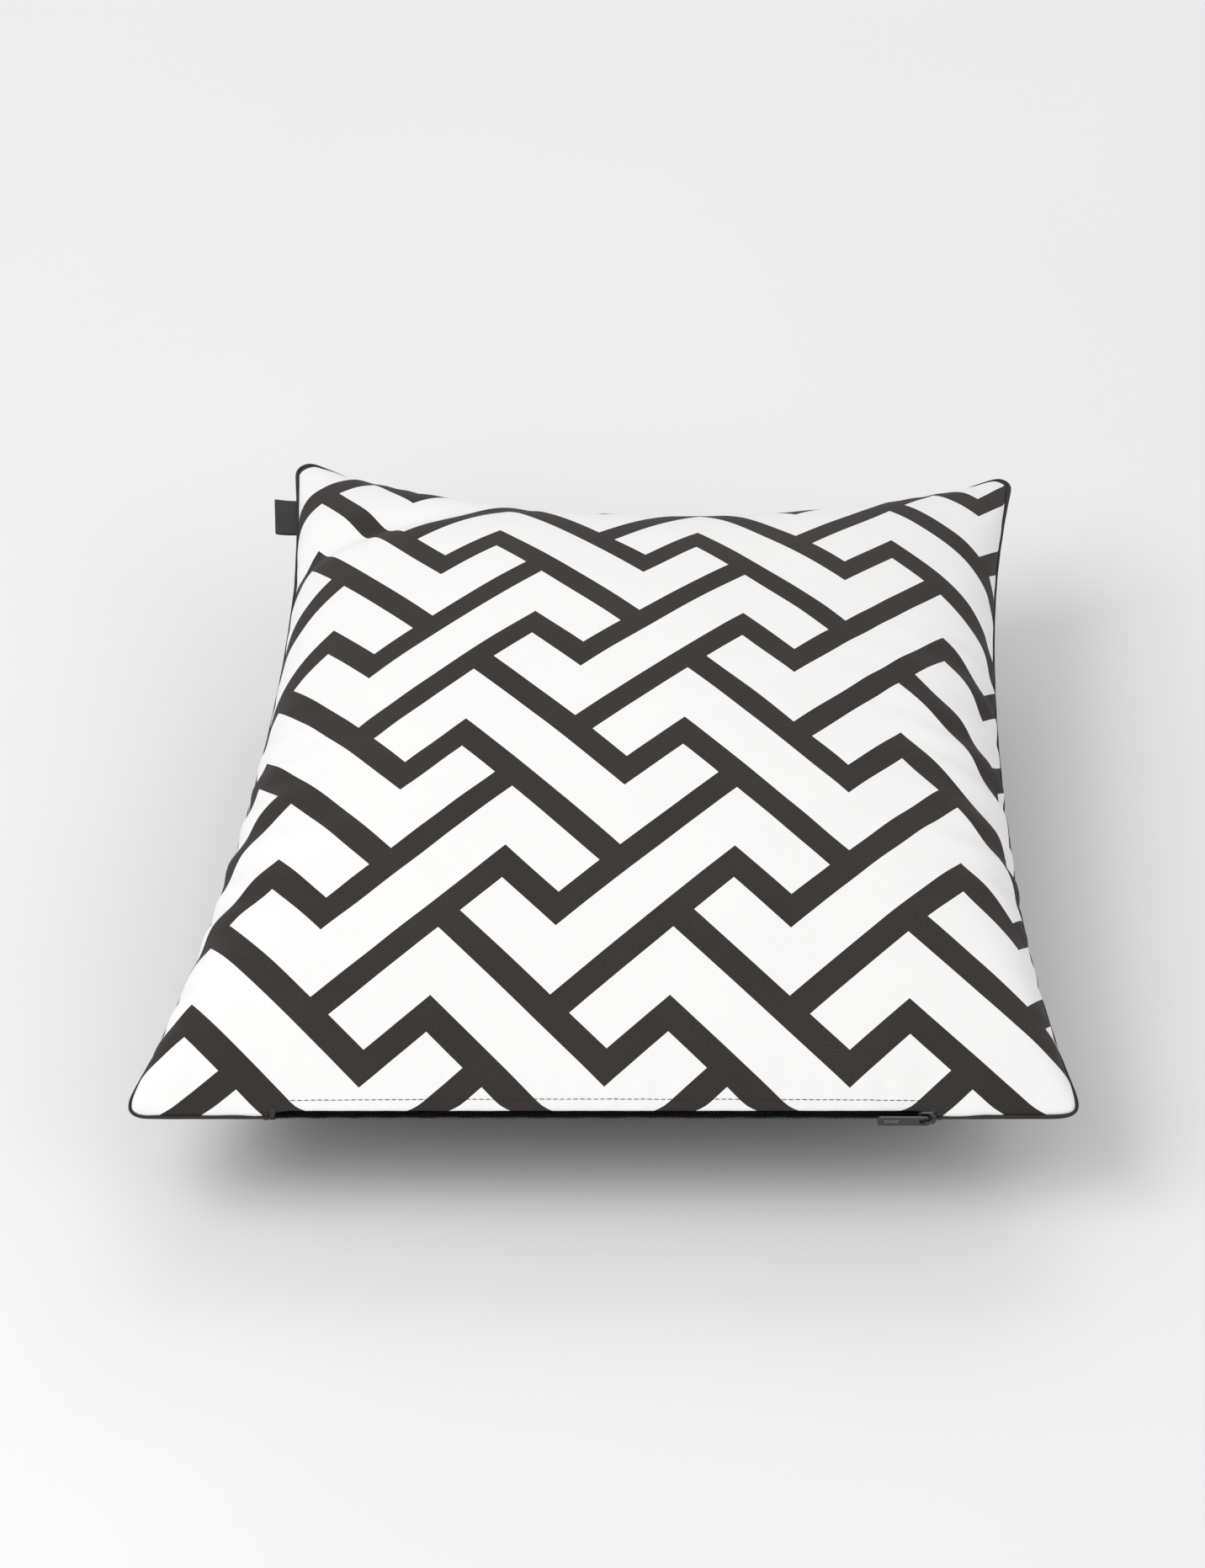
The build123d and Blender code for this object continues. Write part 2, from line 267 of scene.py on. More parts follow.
def crease(side, x, y):
    """How far the cloth stands out at a point of the flat panel."""
    edge = min(x + panel_width / 2, panel_width / 2 - x, y, panel_height - y)
    along = y if panel_width / 2 - abs(x) < min(y, panel_height - y) else x
    out = pucker * math.exp(-edge / pucker_reach) * (
        math.sin(math.tau * along / pucker_pitch + 2.5 * wander(x, y, 0.07, side))
        + wander(x, y, 0.012, 3.3 + side)
    )
    right = math.exp(-((panel_width / 2 - x) / ripple_reach)) * math.exp(-(((y - 0.225) / 0.11) ** 4))
    left = 0.7 * math.exp(-((panel_width / 2 + x) / ripple_reach)) * math.exp(-(((y - 0.16) / 0.10) ** 4))
    wave = math.sin(math.tau * (y + 0.15 * x) / ripple_pitch + 3.0 * wander(x, y, 0.06, 7.7))
    out += ripple * (right + left) * wave
    out += 0.0009 * wander(x, y, 0.05, 11.0 + side)
    if side == 0:
        reach = hood_to - hood_from
        t = (Vector((x, y)) - hood_from).dot(reach) / reach.length_squared
        off = (Vector((x, y)) - hood_from - reach * t).length
        if -0.1 < t < 1.1:
            out -= hood_depth * math.exp(-((off / hood_width) ** 2)) * max(0.0, 1 - abs(t - 0.35) / 0.75)
    return out


for side in (0, 1):
    for i in range(1, cells):
        for j in range(1, cells):
            x, y = (i / cells - 0.5) * panel_width, j / cells * panel_height
            away = min(i, cells - i, j, cells - j) / 3
            shape[side, i, j] += outward[side, i, j] * crease(side, x, y) * min(1.0, away)
shape[..., 2] = shape[..., 2].clip(0.0004)
outward = np.stack([facing(shape[0]), -facing(shape[1])])
print("creased, thickness now", round(shape[..., 2].max(), 4))

# %% [markdown]
# ## Turned corners
# A sewer rounds the corners a little, because a sharp one can't be turned inside out
# cleanly. Near each corner the grid is squeezed from a square into a quarter of a disc,
# and every vertex slides along the cloth to its new place.

# %% Round the four corners
corner_cells = 3.2  # radius of a turned corner, in squares of cloth


def turned(i, j):
    """Where a grid point slides to near a corner, in squares of cloth."""
    flip_i, flip_j = i > cells / 2, j > cells / 2
    a = cells - i if flip_i else i
    b = cells - j if flip_j else j
    if a < corner_cells and b < corner_cells:
        p, q = 1 - a / corner_cells, 1 - b / corner_cells
        a = corner_cells * (1 - p * math.sqrt(1 - q * q / 2))
        b = corner_cells * (1 - q * math.sqrt(1 - p * p / 2))
    return (cells - a if flip_i else a), (cells - b if flip_j else b)


rounded = shape.copy()
near = [k for k in range(cells + 1) if min(k, cells - k) < corner_cells]
for i in near:
    for j in near:
        column, row = turned(i, j)
        x, y = (column / cells - 0.5) * panel_width, row / cells * panel_height
        for side in (0, 1):
            rounded[side, i, j] = on_cloth(side, x, y)
        if i in (0, cells) or j in (0, cells):
            rounded[:, i, j] = rounded[:, i, j].mean(axis=0)
shape = rounded
outward = np.stack([facing(shape[0]), -facing(shape[1])])
print("corners now at", [np.round(shape[0, i, j], 3).tolist() for i in (0, cells) for j in (0, cells)])

# %% [markdown]
# ## The print
# The front carries bars that turn corners like a chevron weave. It is one repeating rule,
# not a picture: the cloth is divided into diamonds, and for each of a diamond's four sides
# the rule says whether the white runs on into the next one. Twelve diamonds repeat, so a
# colour ramp with constant steps, read at the diamond's number, is the rule as a table.
# All of it is Math nodes on the panel's own UV map, so the bars bend with the cloth.

# %% Node helpers


def new_material(name, roughness):
    """An empty material and its shader."""
    made = bpy.data.materials.new(name)
    made.use_nodes = True
    shader = made.node_tree.nodes["Principled BSDF"]
    shader.inputs["Roughness"].default_value = roughness
    return made, made.node_tree, shader


def calc(tree, operation, *values):
    """A Math node, whose inputs are numbers or other nodes' outputs."""
    node = tree.nodes.new("ShaderNodeMath")
    node.operation = operation
    for socket, value in zip(node.inputs, values):
        if isinstance(value, (int, float)):
            socket.default_value = value
        else:
            tree.links.new(value, socket)
    return node.outputs[0]


def pattern(tree, kind, vector, **settings):
    """A texture node on some coordinates."""
    node = tree.nodes.new(kind)
    tree.links.new(vector, node.inputs["Vector"])
    for key, value in settings.items():
        if key in node.inputs:
            node.inputs[key].default_value = value
        else:
            setattr(node, key, value)
    return node


def blend_colours(tree, share, dark, light):
    """A mix of two colours, each a tuple or another node's output."""
    node = tree.nodes.new("ShaderNodeMix")
    node.data_type = "RGBA"
    tree.links.new(share, node.inputs[0])
    for socket, colour in ((node.inputs[6], dark), (node.inputs[7], light)):
        if isinstance(colour, tuple):
            socket.default_value = (*colour, 1)
        else:
            tree.links.new(colour, socket)
    return node.outputs[2]


def bump(tree, shader, height, distance, strength=1.0):
    """Height as fine relief."""
    node = tree.nodes.new("ShaderNodeBump")
    node.inputs["Distance"].default_value = distance
    node.inputs["Strength"].default_value = strength
    tree.links.new(height, node.inputs["Height"])
    tree.links.new(node.outputs[0], shader.inputs["Normal"])


def panel_metres(tree, map_name="panel", width=panel_width, height=panel_height):
    """The flat panel's own coordinates in metres, from its UV map."""
    uv = tree.nodes.new("ShaderNodeUVMap")
    uv.uv_map = map_name
    mapping = tree.nodes.new("ShaderNodeMapping")
    mapping.inputs["Scale"].default_value = (width, height, 1)
    tree.links.new(uv.outputs[0], mapping.inputs["Vector"])
    return mapping.outputs[0]


def weave_height(tree, place, thread):
    """A plain weave: two sets of threads that take turns on top."""
    across = pattern(tree, "ShaderNodeTexWave", place, bands_direction="X", Scale=0.314 / thread)
    along = pattern(tree, "ShaderNodeTexWave", place, bands_direction="Y", Scale=0.314 / thread)
    return calc(tree, "MAXIMUM", across.outputs["Fac"], along.outputs["Fac"])


# %% The printed cotton
pitch = 0.032  # half the width of one diamond
flattening = 0.90  # a diamond's height for its width
bar_gap = 0.34  # share of a diamond that the dark bars take
first_row = 0.0145  # up from the zip seam to the first points of the dark bars


def steps(tree, number, members):
    """1 where a number from 0 to 11 is one of members, read from a ramp of constant steps."""
    ramp = tree.nodes.new("ShaderNodeValToRGB")
    ramp.color_ramp.interpolation = "CONSTANT"
    marks = ramp.color_ramp.elements
    marks.remove(marks[1])
    for value in range(12):
        mark = marks[0] if value == 0 else marks.new(value / 12)
        mark.position = value / 12
        mark.color = (1, 1, 1, 1) if value in members else (0, 0, 0, 1)
    tree.links.new(calc(tree, "DIVIDE", calc(tree, "ADD", number, 0.5), 12), ramp.inputs[0])
    return ramp.outputs[0]


def white_share(tree, place):
    """1 on the white bars and 0 between them."""
    split = tree.nodes.new("ShaderNodeSeparateXYZ")
    tree.links.new(place, split.inputs[0])
    x = calc(tree, "DIVIDE", calc(tree, "SUBTRACT", split.outputs[0], panel_width / 2), pitch)
    rise = pitch * flattening
    low = first_row + (2 + bar_gap) * rise
    y = calc(tree, "DIVIDE", calc(tree, "SUBTRACT", split.outputs[1], low), rise)
    i = calc(tree, "MULTIPLY", calc(tree, "SUBTRACT", x, y), 0.5)
    j = calc(tree, "MULTIPLY", calc(tree, "ADD", x, y), 0.5)
    cell_i, cell_j = calc(tree, "FLOOR", i), calc(tree, "FLOOR", j)
    part_i, part_j = calc(tree, "SUBTRACT", i, cell_i), calc(tree, "SUBTRACT", j, cell_j)
    seven = calc(tree, "MULTIPLY", cell_j, 7.0)
    number = calc(tree, "MODULO", calc(tree, "ADD", calc(tree, "SUBTRACT", cell_i, seven), 1200.0), 12.0)

    def joined(shift, members):
        moved = calc(tree, "MODULO", calc(tree, "ADD", number, float(12 - shift)), 12.0)
        return steps(tree, moved, members)

    across, along = {0, 1, 2, 5, 9}, {3, 4, 6, 7, 11}
    half = bar_gap / 2
    low_i, high_i = calc(tree, "LESS_THAN", part_i, half), calc(tree, "GREATER_THAN", part_i, 1 - half)
    low_j, high_j = calc(tree, "LESS_THAN", part_j, half), calc(tree, "GREATER_THAN", part_j, 1 - half)
    middle_i = calc(tree, "SUBTRACT", calc(tree, "SUBTRACT", 1.0, low_i), high_i)
    middle_j = calc(tree, "SUBTRACT", calc(tree, "SUBTRACT", 1.0, low_j), high_j)
    white = calc(tree, "MULTIPLY", middle_i, middle_j)
    for edge, middle, shift, members in (
        (low_i, middle_j, 1, across),
        (high_i, middle_j, 0, across),
        (low_j, middle_i, 5, along),
        (high_j, middle_i, 0, along),
    ):
        bridge = calc(tree, "MULTIPLY", calc(tree, "MULTIPLY", edge, middle), joined(shift, members))
        white = calc(tree, "ADD", white, bridge)
    return white


white_cotton = (0.90, 0.90, 0.89)
print_dark, print_light = (0.008, 0.0065, 0.006), (0.048, 0.037, 0.033)
thread_width = 0.00055
printed, tree, shader = new_material("printed_cotton", 0.92)
place = panel_metres(tree)
fleck = pattern(tree, "ShaderNodeTexNoise", place, Scale=900.0, Detail=2.0)
cloud = pattern(tree, "ShaderNodeTexNoise", place, Scale=14.0, Detail=3.0)
weave = weave_height(tree, place, thread_width)
worn = calc(tree, "MULTIPLY", fleck.outputs["Fac"], calc(tree, "ADD", cloud.outputs["Fac"], 0.35))
ink = blend_colours(tree, worn, print_dark, print_light)
ground = blend_colours(tree, cloud.outputs["Fac"], (0.86, 0.86, 0.855), white_cotton)
tree.links.new(blend_colours(tree, white_share(tree, place), ink, ground), shader.inputs["Base Color"])
shader.inputs["Sheen Weight"].default_value = 0.03
shader.inputs["Sheen Roughness"].default_value = 0.6
bump(tree, shader, calc(tree, "ADD", weave, fleck.outputs["Fac"]), 0.00012, 0.6)
print("print nodes", len(tree.nodes))

# %% [markdown]
# ## Plain cloths, threads and trims
# The other finishes are small changes of the same few ideas: a colour that varies a
# little, a weave or a twist as relief, and a roughness that suits the stuff. Cloth reads
# its own UV map. Threads and metal read Object coordinates, which are the frame's metres.

# %% The other finishes


def cloth_finish(name, dark, light, thread, roughness=0.9, sheen=0.04, relief=0.00012):
    """A plain woven cloth on the panel's UV map."""
    made, tree, shader = new_material(name, roughness)
    place = panel_metres(tree)
    cloud = pattern(tree, "ShaderNodeTexNoise", place, Scale=30.0, Detail=4.0)
    fleck = pattern(tree, "ShaderNodeTexNoise", place, Scale=1100.0, Detail=1.0)
    shade = calc(tree, "MULTIPLY", calc(tree, "ADD", cloud.outputs["Fac"], fleck.outputs["Fac"]), 0.5)
    tree.links.new(blend_colours(tree, shade, dark, light), shader.inputs["Base Color"])
    shader.inputs["Sheen Weight"].default_value = sheen
    shader.inputs["Sheen Roughness"].default_value = 0.5
    height = calc(tree, "ADD", weave_height(tree, place, thread), fleck.outputs["Fac"])
    bump(tree, shader, height, relief, 0.6)
    return made


def solid_finish(name, dark, light, scale, roughness, relief, metal=0.0, coat=0.0):
    """Thread, plastic or metal on Object coordinates."""
    made, tree, shader = new_material(name, roughness)
    place = tree.nodes.new("ShaderNodeTexCoord").outputs["Object"]
    cloud = pattern(tree, "ShaderNodeTexNoise", place, Scale=scale, Detail=3.0)
    tree.links.new(blend_colours(tree, cloud.outputs["Fac"], dark, light), shader.inputs["Base Color"])
    spread = calc(tree, "MULTIPLY_ADD", cloud.outputs["Fac"], 0.15, roughness - 0.07)
    tree.links.new(spread, shader.inputs["Roughness"])
    shader.inputs["Metallic"].default_value = metal
    shader.inputs["Coat Weight"].default_value = coat
    bump(tree, shader, cloud.outputs["Fac"], relief, 0.5)
    return made


black_cotton = cloth_finish("black_cotton", (0.010, 0.010, 0.010), (0.030, 0.029, 0.028), 0.0006)
zip_tape = cloth_finish("zip_tape", (0.008, 0.008, 0.008), (0.024, 0.024, 0.025), 0.0007, 0.8)
label_ribbon = cloth_finish("label_ribbon", (0.006, 0.006, 0.007), (0.016, 0.016, 0.017), 0.0004, 0.55, 0.05)
care_ribbon = cloth_finish("care_ribbon", (0.76, 0.76, 0.75), (0.86, 0.86, 0.85), 0.0004, 0.5, 0.1)
insert_fabric = cloth_finish("insert_fabric", (0.78, 0.78, 0.77), (0.90, 0.90, 0.89), 0.0008)
black_thread = solid_finish("sewing_thread", (0.010, 0.010, 0.010), (0.032, 0.032, 0.033), 1800, 0.6, 0.0001)
white_thread = solid_finish("insert_thread", (0.74, 0.74, 0.73), (0.88, 0.88, 0.87), 1800, 0.6, 0.0001)
coil_nylon = solid_finish("zip_coil", (0.010, 0.010, 0.011), (0.022, 0.022, 0.024), 600, 0.38, 0.00002)
stop_plastic = solid_finish(
    "zip_stop_plastic", (0.016, 0.016, 0.016), (0.030, 0.030, 0.030), 500, 0.5, 0.00002
)
enamel = solid_finish(
    "zip_enamel", (0.014, 0.014, 0.015), (0.030, 0.030, 0.032), 700, 0.32, 0.00001, 0.4, 0.5
)
fibre = solid_finish("fibre_fill", (0.82, 0.82, 0.82), (0.95, 0.95, 0.95), 260, 0.95, 0.0008)
print("finishes", len(bpy.data.materials))

# %% [markdown]
# ## The knife-edge seam
# At a sewn edge both panels turn inwards, and on this cover the black back rolls a few
# millimetres over the front, so the front has a thin, uneven black outline. Where the zip
# is, neither panel reaches the seam line: each folds back and leaves a slot. The grid of
# each panel ends at its fold, and `extrude_edge_only` adds the turned-in rows one by one,
# because a row can then be placed by where its border point sits.

# %% Where the folds go
slot_inset = 0.0044  # from the seam line to the fold beside the zip
slot_ramp = 0.010  # over which the slot opens
roll_least, roll_most = 0.0009, 0.0034  # how far the back rolls over the front
allowance = 0.010  # turned inside


inner_cells = 4  # how far in the direction to the inside is read


def inner_way(i, j):
    """The way from a border point to the middle of the filling behind it."""
    a = min(max(i, inner_cells), cells - inner_cells)
    b = min(max(j, inner_cells), cells - inner_cells)
    return (shape[0, a, b] + shape[1, a, b]) / 2 - shape[0, i, j]


def seam_frame(i, j):
    """The seam point, the ways into the front, into the back and inside, and the front's
    and the back's outward directions, at a border point of the grid."""
    p = Vector(shape[0, i, j])
    a = min(max(i, 1), cells - 1)
    b = min(max(j, 1), cells - 1)
    to_front = (Vector(shape[0, a, b]) - p).normalized()
    to_back = (Vector(shape[1, a, b]) - p).normalized()
    inside = Vector(inner_way(i, j)).normalized()
    return p, to_front, to_back, inside, Vector(outward[0, a, b]), Vector(outward[1, a, b])


def slot_open(i, j):
    """1 where the zip's slot is open, 0 where the edge is sewn."""
    if j > 0:
        return 0.0
    x = abs(i / cells - 0.5) * panel_width
    return min(max((zip_half - x) / slot_ramp + 0.5, 0.0), 1.0)


def roll(i, j):
    """How far the black back shows on the front at a border point."""
    x, y = i / cells * panel_width, j / cells * panel_height
    lump = 0.5 + 0.9 * wander(x, y, 0.045, 21.0) + 0.3 * wander(x, y, 0.013, 4.0)
    return roll_least + (roll_most - roll_least) * min(max(lump, 0.0), 1.0)


def front_rows(i, j):
    """The front's fold and its turned-in rows at a border point."""
    p, front, back, inside, up, down = seam_frame(i, j)
    r = roll(i, j)
    sewn = [
        p + front * (r + 0.0002),
        p + front * (r - 0.0004) - up * 0.0009,
        p + inside * 0.005 + (up - down) * 0.0003,
        p + inside * allowance + (up - down) * 0.0003,
    ]
    fold = p + front * slot_inset
    slot = [
        fold,
        fold - up * 0.0010 - front * 0.0002,
        fold - up * 0.0012 + front * 0.004,
        fold - up * 0.0012 + front * 0.008,
    ]
    return [a.lerp(b, slot_open(i, j)) for a, b in zip(sewn, slot)]


def back_rows(i, j):
    """The same for the back, which rolls over the seam."""
    p, front, back, inside, up, down = seam_frame(i, j)
    r = roll(i, j)
    sewn = [
        p - inside * 0.0003 + back * 0.0002,
        p - inside * 0.0006 + front * r * 0.35 + up * 0.0005,
        p + front * r * 0.92 + up * 0.0006,
        p + front * (r - 0.0006) - up * 0.0012,
        p + inside * allowance - (up - down) * 0.0003,
    ]
    fold = p + back * slot_inset
    slot = [
        fold,
        fold - down * 0.0010 - back * 0.0002,
        fold - down * 0.0012 + back * 0.003,
        fold - down * 0.0012 + back * 0.006,
        fold - down * 0.0012 + back * 0.008,
    ]
    return [a.lerp(b, slot_open(i, j)) for a, b in zip(sewn, slot)]


print("black line", [round(roll(i, cells) * 1000, 1) for i in range(0, cells, 12)], "mm")

# %% [markdown]
# ## Making a panel
# A panel starts as `create_grid` again. Every vertex moves to where the simulation left it,
# and an integer layer remembers each one's column and row, which `extrude_edge_only` copies
# to the rows that it adds. Solidify then gives the cloth its thickness on the inside, and
# one level of subdivision rounds the folds.

# %% Build the two panels
cloth_thickness = 0.0004


def finished(name, builder, material, smooth=True):
    """A bmesh as an object in the scene, with one material."""
    made = bpy.data.meshes.new(name)
    builder.to_mesh(made)
    builder.free()
    made.materials.append(material)
    if smooth:
        made.shade_smooth()
    thing = bpy.data.objects.new(name, made)
    bpy.context.scene.collection.objects.link(thing)
    return thing


def thicken(thing, thickness, levels=0):
    """Cloth thickness on the inner side, then a smoothing subdivision."""
    wall = thing.modifiers.new("thickness", "SOLIDIFY")
    wall.thickness, wall.offset = thickness, -1
    if levels:
        smooth = thing.modifiers.new("smooth", "SUBSURF")
        smooth.levels = smooth.render_levels = levels
    return thing


def panel(name, side, rows, material):
    """One cover panel with its turned-in edge."""
    builder = bmesh.new()
    uv = builder.loops.layers.uv.new("panel")
    bmesh.ops.create_grid(builder, x_segments=cells, y_segments=cells, size=0.5)
    column = builder.verts.layers.int.new("column")
    row = builder.verts.layers.int.new("row")
    for vert in builder.verts:
        vert[column] = round((vert.co.x + 0.5) * cells)
        vert[row] = round((vert.co.y + 0.5) * cells)
    edge = [v for v in builder.verts if v.is_boundary]
    for vert in builder.verts:
        vert.co = shape[side, vert[column], vert[row]]
    for vert in edge:
        vert.co = rows(vert[column], vert[row])[0]
    for step in range(1, len(rows(0, 0))):
        rim = [e for e in builder.edges if e.is_boundary]
        added = bmesh.ops.extrude_edge_only(builder, edges=rim)["geom"]
        for vert in added:
            if isinstance(vert, bmesh.types.BMVert):
                vert.co = rows(vert[column], vert[row])[step]
    for face in builder.faces:
        for loop in face.loops:
            loop[uv].uv = (loop.vert[column] / cells, loop.vert[row] / cells)
    if side == 1:
        bmesh.ops.reverse_faces(builder, faces=builder.faces[:])
    thing = finished(name, builder, material)
    return thicken(thing, cloth_thickness, 1)


# %% Place the panels
cover_front = panel("cover_front", 0, front_rows, printed)
cover_back = panel("cover_back", 1, back_rows, black_cotton)
for thing, node, finish_slot in (
    (cover_front, "front_panel", "printed_cotton"),
    (cover_back, "back_panel", "black_cotton"),
):
    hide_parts(node)
    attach(thing, "cushion")
print("panels", len(cover_front.data.polygons), len(cover_back.data.polygons), "faces before subdivision")

# %% [markdown]
# ## Patches that follow the cloth
# The zip's tapes, the care label and the inner cushion's case all lie against the cover
# from the inside. One helper makes them: a grid over a rectangle of the flat panel, moved
# on to the cloth at some depth, so it can never cut through the cover.

# %% Zip tapes and care label


def patch(name, side, x_range, y_range, depth, counts, material, thickness, levels=1, rise=None):
    """A strip of cloth that lies depth inside one panel, moved up by rise(x) if given."""
    builder = bmesh.new()
    uv = builder.loops.layers.uv.new("panel")
    bmesh.ops.create_grid(builder, x_segments=counts[0], y_segments=counts[1], size=0.5)
    for face in builder.faces:
        for loop in face.loops:
            s, t = loop.vert.co.x + 0.5, loop.vert.co.y + 0.5
            x = x_range[0] + (x_range[1] - x_range[0]) * s
            y = y_range[0] + (y_range[1] - y_range[0]) * t
            loop[uv].uv = (x / panel_width + 0.5, y / panel_height)
    for vert in builder.verts:
        x = x_range[0] + (x_range[1] - x_range[0]) * (vert.co.x + 0.5)
        y = y_range[0] + (y_range[1] - y_range[0]) * (vert.co.y + 0.5)
        vert.co = on_cloth(side, x, y + (rise(x) if rise else 0.0), depth)
    if side == 1:
        bmesh.ops.reverse_faces(builder, faces=builder.faces[:])
    return thicken(finished(name, builder, material), thickness, levels)


tape_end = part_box("zip_tape_front")[1].x
tape_rows = (0.0042, 0.0162)
tape_tuck = 0.0075  # how far the tape's tails sit back from the sewn seam


def tape_rise(x):
    """Extra distance from the seam, past the ends of the zip's slot."""
    return tape_tuck * min(max((abs(x) - zip_half + 0.005) / 0.005, 0.0), 1.0)


tapes = []
for side, name in ((0, "front"), (1, "back")):
    tape = patch(
        f"tape_{name}", side, (-tape_end, tape_end), tape_rows, 0.0019,
        (140, 4), zip_tape, 0.0005, 1, tape_rise,
    )
    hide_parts(f"zip_tape_{name}")
    tapes.append(tape)
care_low, care_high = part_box("care_label")
care_y = (care_low.y + care_high.y) / 2 - zip_y
care_half = (care_high.y - care_low.y) / 2
care_rows = (care_y - care_half, care_y + care_half)
care_start, care_length, care_depth = 0.006, 0.060, 0.0030
care_columns = (-panel_width / 2 + care_start, -panel_width / 2 + care_start + care_length)
care = patch(
    "care_ribbon_label", 1, care_columns, care_rows, care_depth,
    (12, 8), care_ribbon, 0.0003, 1,
)
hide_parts("care_label")
for thing in (*tapes, care):
    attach(thing, "cushion")
print("tape end", round(tape_end, 4), "care label rows", [round(v, 3) for v in care_rows])

# %% [markdown]
# ## The zip's coil
# A nylon coil zip is a spring of plastic wire sewn along each tape, and the turns of the
# two rows hook into each other. One turn is a small ring of round wire, made by spinning a
# circle, and an Array repeats it along the zip. The two rows are half a turn out of step.

# %% Wind the coils
coil_pitch = 0.0015
wire = 0.0003
coils = []
for name, low, high, shift in (
    ("front", coil_front_low, coil_front_high, 0.0),
    ("back", coil_back_low, coil_back_high, 0.5),
):
    hook = 0.0004 * (-1 if name == "front" else 1)  # the heads reach past the middle
    reach_z = (high.z - low.z) / 2 + 0.0002
    first_x = low.x + coil_pitch * (0.5 + shift)
    middle = Vector((first_x, (low.y + high.y) / 2, (low.z + high.z) / 2 + hook / 2))
    builder = bmesh.new()
    bmesh.ops.create_circle(builder, segments=6, radius=wire)
    upright = Vector((1, 0, 0)).rotation_difference(Vector((0, 0, 1))).to_matrix()
    bmesh.ops.rotate(builder, verts=builder.verts, matrix=upright)
    bmesh.ops.translate(builder, verts=builder.verts, vec=(0, 0, reach_z))
    bmesh.ops.spin(
        builder, geom=builder.verts[:] + builder.edges[:], cent=(0, 0, 0), axis=(1, 0, 0),
        angle=math.tau, steps=10, use_merge=True,
    )
    bmesh.ops.remove_doubles(builder, verts=builder.verts, dist=1e-7)
    bmesh.ops.scale(builder, verts=builder.verts, vec=(1, (high.y - low.y) / 2 / reach_z, 1))
    for vert in builder.verts:  # the turn leans, because it is part of a spiral
        vert.co.x += 0.25 * coil_pitch * vert.co.z / reach_z
    bmesh.ops.translate(builder, verts=builder.verts, vec=middle)
    bmesh.ops.recalc_face_normals(builder, faces=builder.faces[:])
    coil = finished(f"coil_{name}", builder, coil_nylon)
    turns = coil.modifiers.new("turns", "ARRAY")
    turns.use_relative_offset = False
    turns.use_constant_offset = True
    turns.constant_offset_displace = (coil_pitch, 0, 0)
    turns.count = int((high.x - low.x) / coil_pitch) - 1
    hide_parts(f"zip_coil_{name}")
    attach(coil, "cushion")
    coils.append(coil)
print("turns in each row", turns.count)

# %% [markdown]
# ## Stitches
# Each visible stitch is a short thread that dives into the cloth at both ends. A small
# sphere stretched along the seam gives that, with a few dozen faces each, and it is laid
# with `on_cloth`, so the row follows every ripple. Bar tacks are the same stitch, close
# together and across the seam.

# %% Sew the rows beside the zip and the bar tacks
stitch_length, stitch_radius = 0.0030, 0.00022
stitch_gap = 0.0005
row_rise = 0.0085  # from the seam line to the stitch row, over the cloth


def stitch(builder, start, end, radius):
    """One stitch between two points."""
    run = end - start
    new = bmesh.ops.create_uvsphere(builder, u_segments=6, v_segments=5, radius=1.0)["verts"]
    bmesh.ops.scale(builder, verts=new, vec=(radius, radius, run.length / 2))
    turn = Vector((0, 0, 1)).rotation_difference(run).to_matrix()
    bmesh.ops.rotate(builder, verts=new, matrix=turn, cent=(0, 0, 0))
    bmesh.ops.translate(builder, verts=new, vec=(start + end) / 2)


for side, name in ((0, "front"), (1, "back")):
    builder = bmesh.new()
    x = -zip_half
    while x + stitch_length < zip_half:
        here = on_cloth(side, x, row_rise, -stitch_radius / 2)
        there = on_cloth(side, x + stitch_length, row_rise, -stitch_radius / 2)
        stitch(builder, here, there, stitch_radius)
        x += stitch_length + stitch_gap
    row = finished(f"stitches_{name}", builder, black_thread)
    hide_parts(f"zip_stitching_{name}")
    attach(row, "cushion")

tack_width, tack_threads = 0.0026, 9
tack_rise = 0.0062
tack_proud = 0.0002
builder = bmesh.new()
for end in (-1, 1):
    for k in range(tack_threads):
        x = end * (zip_half + tack_width * k / (tack_threads - 1))
        top = on_cloth(0, x, tack_rise, -stitch_radius)
        bottom = on_cloth(1, x, tack_rise, -stitch_radius)
        nose = on_cloth(0, x, 0.0) - Vector((0, tack_proud, 0))
        stitch(builder, top, nose, stitch_radius)
        stitch(builder, nose, bottom, stitch_radius)
tacks = finished("bar_tacks", builder, black_thread)
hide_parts("zip_bar_tacks")
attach(tacks, "cushion")
print("stitches beside the zip", len(row.data.polygons) // 30)

# %% [markdown]
# ## The side label
# A folded ribbon sewn into the left seam, a little below the top corner. It carries no
# lettering here. A grid is bent into the loop: out from the seam, round a tight fold and
# back, with the free edge leaning slightly to the front, as a worn label does.

# %% Fold the label
label_low, label_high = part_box("side_label")
label_height = label_high.y - label_low.y
label_reach = label_high.x - label_low.x
seam_slack = 0.004  # the side seam is a little longer than its height
label_y = panel_height - (panel_high.y - (label_low.y + label_high.y) / 2) - seam_slack
ribbon = 0.0004
tail = 0.006
j_label = round(label_y / panel_height * cells)
p, front, back, inside, up, down = seam_frame(0, j_label)
along = (Vector(shape[0, 0, j_label + 2]) - Vector(shape[0, 0, j_label - 2])).normalized()
out = -inside
out = (out - along * out.dot(along)).normalized()
lift = along.cross(out).normalized()
if lift.z < 0:
    lift = -lift
label_shape = bmesh.new()
label_uv = label_shape.loops.layers.uv.new("panel")
bmesh.ops.create_grid(label_shape, x_segments=28, y_segments=10, size=0.5)
length = 2 * (label_reach + tail)
